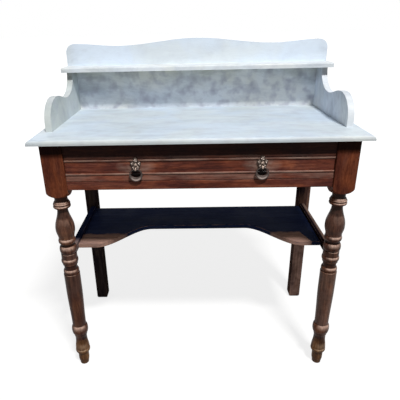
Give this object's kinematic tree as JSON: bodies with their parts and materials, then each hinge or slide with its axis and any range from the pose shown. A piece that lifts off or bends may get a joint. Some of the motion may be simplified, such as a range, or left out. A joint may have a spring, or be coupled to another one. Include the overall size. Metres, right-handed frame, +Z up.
{
  "type": "washstand",
  "caption": "Washstand with a moulded marble top, scrolled marble splash and narrow shelf, turned front legs, open undershelf and a moulded drawer on ring pulls.",
  "frame": {"origin": "on the floor, under the centre of the plan", "axes": "+Z up, -Y towards the front where the drawer opens, +X to the right of someone who faces the drawer"},
  "size_m": [0.9, 0.446, 1.014],
  "materials": {
    "marble": "honed",
    "dowel_iron": "dull",
    "leg_wood": "worn oil",
    "show_wood": "worn polish",
    "inner_wood": "bare",
    "pull_brass": "tarnished",
    "nut_iron": "dull",
    "ring_brass": "tarnished"
  },
  "bodies": {
    "stand": {"marble_top": "marble", "splash_back": "marble", "splash_left": "marble", "splash_right": "marble", "splash_shelf": "marble", "splash_crest": "marble", "splash_dowels": "dowel_iron", "front_leg_left": "leg_wood", "front_leg_right": "leg_wood", "back_leg_left": "leg_wood", "back_leg_right": "leg_wood", "side_apron_left": "show_wood", "side_apron_right": "show_wood", "back_apron": "show_wood", "top_rail": "show_wood", "bottom_rail": "show_wood", "stretcher_left": "show_wood", "stretcher_right": "show_wood", "undershelf": "show_wood", "drawer_runner_left": "inner_wood", "drawer_runner_right": "inner_wood", "drawer_guide_left": "inner_wood", "drawer_guide_right": "inner_wood", "drawer_kicker_left": "inner_wood", "drawer_kicker_right": "inner_wood", "drawer_stops": "inner_wood", "corner_blocks": "inner_wood"},
    "drawer": {"drawer_front": "show_wood", "drawer_side_left": "inner_wood", "drawer_side_right": "inner_wood", "drawer_back": "inner_wood", "drawer_bottom": "inner_wood", "pull_plate_left": "pull_brass", "pull_plate_right": "pull_brass", "pull_bolts": "pull_brass", "pull_nuts": "nut_iron"},
    "left_ring": {"pull_ring_left": "ring_brass"},
    "right_ring": {"pull_ring_right": "ring_brass"}
  },
  "joints": [
    {"name": "drawer_slide", "type": "slide", "parent": "stand", "child": "drawer", "axis": [0, -1, 0], "range_m": [0, 0.26]},
    {"name": "left_ring_swing", "type": "hinge", "parent": "drawer", "child": "left_ring", "pos_m": [-0.17, -0.205, 0.70156], "axis": [-1, 0, 0], "range_deg": [0, 110]},
    {"name": "right_ring_swing", "type": "hinge", "parent": "drawer", "child": "right_ring", "pos_m": [0.17, -0.205, 0.70156], "axis": [-1, 0, 0], "range_deg": [0, 110]}
  ]
}
